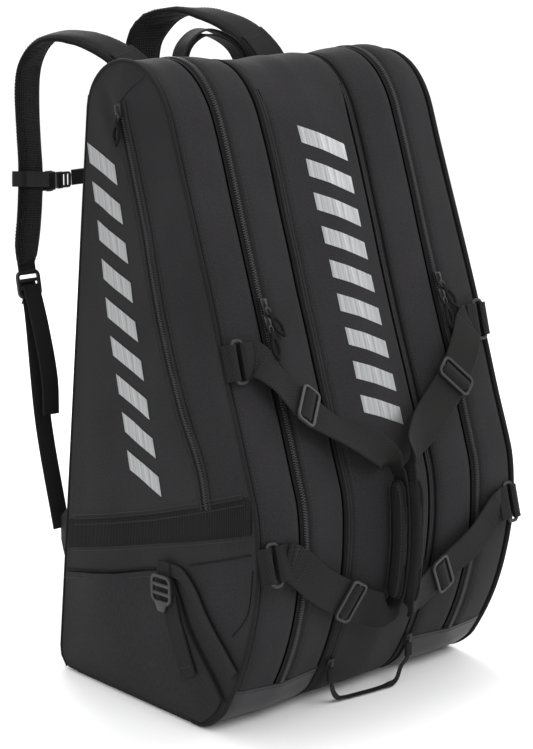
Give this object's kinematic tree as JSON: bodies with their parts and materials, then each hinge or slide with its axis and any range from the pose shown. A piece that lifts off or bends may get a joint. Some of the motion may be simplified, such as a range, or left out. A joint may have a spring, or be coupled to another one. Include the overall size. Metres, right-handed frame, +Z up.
{
  "type": "racket tournament bag",
  "caption": "Upright racket tournament bag with three compartments, a zipped middle flap, two carry handles over the front, shoulder straps and a side shoe pocket.",
  "frame": {"origin": "on the flat bottom of the base, midway across the bag, below the middle compartment", "axes": "+Z up, -Y towards the front with the flap and carry handles, +Y towards the back panel, +X to the right seen from the front"},
  "size_m": [0.4503, 0.5409, 0.8244],
  "materials": {
    "cloth": "woven polyester, near black, fine plain weave with a slight sheen",
    "coated_cloth": "smooth coated tarpaulin, dark grey, satin",
    "back_mesh": "padded air mesh, black",
    "padded_cloth": "padded polyester, black, stitched edges",
    "webbing": "woven polyester webbing with a visible rib",
    "zip_tape": "coil zip tape, black",
    "plastic": "moulded acetal, satin black",
    "zinc": "black painted die-cast zinc"
  },
  "bodies": {
    "bag": {"left_side_panel": "cloth", "right_side_panel": "cloth", "left_divider": "cloth", "right_divider": "cloth", "left_outer_front": "cloth", "left_inner_front": "cloth", "right_inner_front": "cloth", "right_outer_front": "cloth", "top_middle_panel": "cloth", "shoe_pocket_panel": "cloth", "back_panel": "back_mesh", "base_boot": "coated_cloth", "left_zipper": "zip_tape", "right_zipper": "zip_tape", "flap_zipper_left": "zip_tape", "flap_zipper_right": "zip_tape", "side_pocket_zipper": "zip_tape", "side_piping_left": "padded_cloth", "side_piping_right": "padded_cloth", "seam_piping_left": "padded_cloth", "seam_piping_right": "padded_cloth", "pocket_strap": "webbing"},
    "flap": {"flap_panel": "cloth"},
    "flap_sliders": {"flap_slider_left": "zinc", "flap_slider_right": "zinc"},
    "pull_loop": {"pull_loop": "webbing"},
    "side_pocket_slider": {"side_pocket_slider": "zinc"},
    "side_pocket_puller": {"side_pocket_puller": "webbing"},
    "grab_handle": {"grab_handle": "webbing"},
    "pocket_lock": {"pocket_ladder_lock": "plastic"},
    "left_rings": {"left_upper_ring": "plastic", "left_lower_ring": "plastic"},
    "right_rings": {"right_upper_ring": "plastic", "right_lower_ring": "plastic"},
    "left_shoulder_strap": {"shoulder_pad_left": "padded_cloth", "ladder_lock_left": "plastic", "lower_webbing_left": "webbing", "sternum_webbing_left": "webbing", "sternum_buckle_socket": "plastic"},
    "right_shoulder_strap": {"shoulder_pad_right": "padded_cloth", "ladder_lock_right": "plastic", "lower_webbing_right": "webbing", "sternum_webbing_right": "webbing", "sternum_buckle_plug": "plastic"},
    "left_handle": {"left_handle_webbing": "webbing", "left_grip_pad": "padded_cloth", "left_upper_adjuster": "plastic", "left_lower_adjuster": "plastic"},
    "left_upper_slider": {"left_upper_slider": "zinc"},
    "left_upper_puller": {"left_upper_puller": "webbing"},
    "left_lower_slider": {"left_lower_slider": "zinc"},
    "left_lower_puller": {"left_lower_puller": "webbing"},
    "right_handle": {"right_handle_webbing": "webbing", "right_grip_pad": "padded_cloth", "right_upper_adjuster": "plastic", "right_lower_adjuster": "plastic"},
    "right_upper_slider": {"right_upper_slider": "zinc"},
    "right_upper_puller": {"right_upper_puller": "webbing"},
    "right_lower_slider": {"right_lower_slider": "zinc"},
    "right_lower_puller": {"right_lower_puller": "webbing"}
  },
  "joints": [
    {"name": "flap_open", "type": "hinge", "parent": "bag", "child": "flap", "pos_m": [0, -0.08693, 0.74022], "axis": [-1, 0, 0], "range_deg": [0, 27]},
    {"name": "flap_sliders_travel", "type": "slide", "parent": "flap", "child": "flap_sliders", "axis": [0, -0.3889, 0.9213], "range_m": [0, 0.06]},
    {"name": "pull_loop_swing", "type": "hinge", "parent": "flap_sliders", "child": "pull_loop", "pos_m": [0, -0.20563, 0.04965], "axis": [-1, 0, 0], "range_deg": [0, 115]},
    {"name": "left_upper_slider_travel", "type": "slide", "parent": "bag", "child": "left_upper_slider", "axis": [0, 0.319, 0.9478], "range_m": [0, 0.17]},
    {"name": "left_lower_slider_travel", "type": "slide", "parent": "bag", "child": "left_lower_slider", "axis": [0, -0.319, -0.9478], "range_m": [0, 0.16]},
    {"name": "left_upper_puller_swing", "type": "hinge", "parent": "left_upper_slider", "child": "left_upper_puller", "pos_m": [-0.143, -0.18097, 0.49693], "axis": [-0.8829, -0.1498, -0.4449], "range_deg": [0, 115]},
    {"name": "left_lower_puller_swing", "type": "hinge", "parent": "left_lower_slider", "child": "left_lower_puller", "pos_m": [-0.143, -0.1877, 0.47693], "axis": [-1, 0, 0], "range_deg": [0, 115]},
    {"name": "right_upper_slider_travel", "type": "slide", "parent": "bag", "child": "right_upper_slider", "axis": [0, 0.319, 0.9478], "range_m": [0, 0.17]},
    {"name": "right_lower_slider_travel", "type": "slide", "parent": "bag", "child": "right_lower_slider", "axis": [0, -0.319, -0.9478], "range_m": [0, 0.16]},
    {"name": "right_upper_puller_swing", "type": "hinge", "parent": "right_upper_slider", "child": "right_upper_puller", "pos_m": [0.143, -0.18097, 0.49693], "axis": [-0.8829, -0.1498, -0.4449], "range_deg": [0, 115]},
    {"name": "right_lower_puller_swing", "type": "hinge", "parent": "right_lower_slider", "child": "right_lower_puller", "pos_m": [0.143, -0.1877, 0.47693], "axis": [-1, 0, 0], "range_deg": [0, 115]},
    {"name": "side_pocket_slider_travel", "type": "slide", "parent": "bag", "child": "side_pocket_slider", "axis": [0, -0.3048, -0.9524], "range_m": [0, 0.115]},
    {"name": "side_pocket_puller_swing", "type": "hinge", "parent": "side_pocket_slider", "child": "side_pocket_puller", "pos_m": [-0.2233, -0.01572, 0.70919], "axis": [0, 1, 0], "range_deg": [0, 115]},
    {"name": "left_rings_swing", "type": "hinge", "parent": "bag", "child": "left_rings", "pos_m": [-0.202, -0.22186, 0.33289], "axis": [0, -0.2539, -0.9672], "range_deg": [0, 116.1]},
    {"name": "right_rings_swing", "type": "hinge", "parent": "bag", "child": "right_rings", "pos_m": [0.202, -0.22186, 0.33289], "axis": [0, 0.2539, 0.9672], "range_deg": [0, 116.1]},
    {"name": "left_handle_lift", "type": "hinge", "parent": "left_rings", "child": "left_handle", "pos_m": [-0.188, -0.22359, 0.33316], "axis": [0, -0.2537, -0.9673], "range_deg": [0, 60]},
    {"name": "right_handle_lift", "type": "hinge", "parent": "right_rings", "child": "right_handle", "pos_m": [0.188, -0.22359, 0.33316], "axis": [0, 0.2537, 0.9673], "range_deg": [0, 60]},
    {"name": "left_shoulder_strap_swing", "type": "hinge", "parent": "bag", "child": "left_shoulder_strap", "pos_m": [-0.152, 0.062, 0.704], "axis": [0.0879, -0.1571, 0.9837], "range_deg": [0, 30]},
    {"name": "right_shoulder_strap_swing", "type": "hinge", "parent": "bag", "child": "right_shoulder_strap", "pos_m": [0.129, 0.062, 0.704], "axis": [0.0879, 0.1571, -0.9837], "range_deg": [0, 30]},
    {"name": "grab_handle_fold", "type": "hinge", "parent": "bag", "child": "grab_handle", "pos_m": [-0.008, 0.0705, 0.7], "axis": [-1, 0, 0], "range_deg": [0, 80]},
    {"name": "pocket_lock_tilt", "type": "hinge", "parent": "bag", "child": "pocket_lock", "pos_m": [-0.2208, -0.0695, 0.1701], "axis": [0, 0.906, -0.4233], "range_deg": [0, 60]}
  ],
  "couplings": [
    {"joint": "left_rings_swing", "follows": "flap_open", "ratio": 4.3},
    {"joint": "right_rings_swing", "follows": "flap_open", "ratio": 4.3}
  ]
}
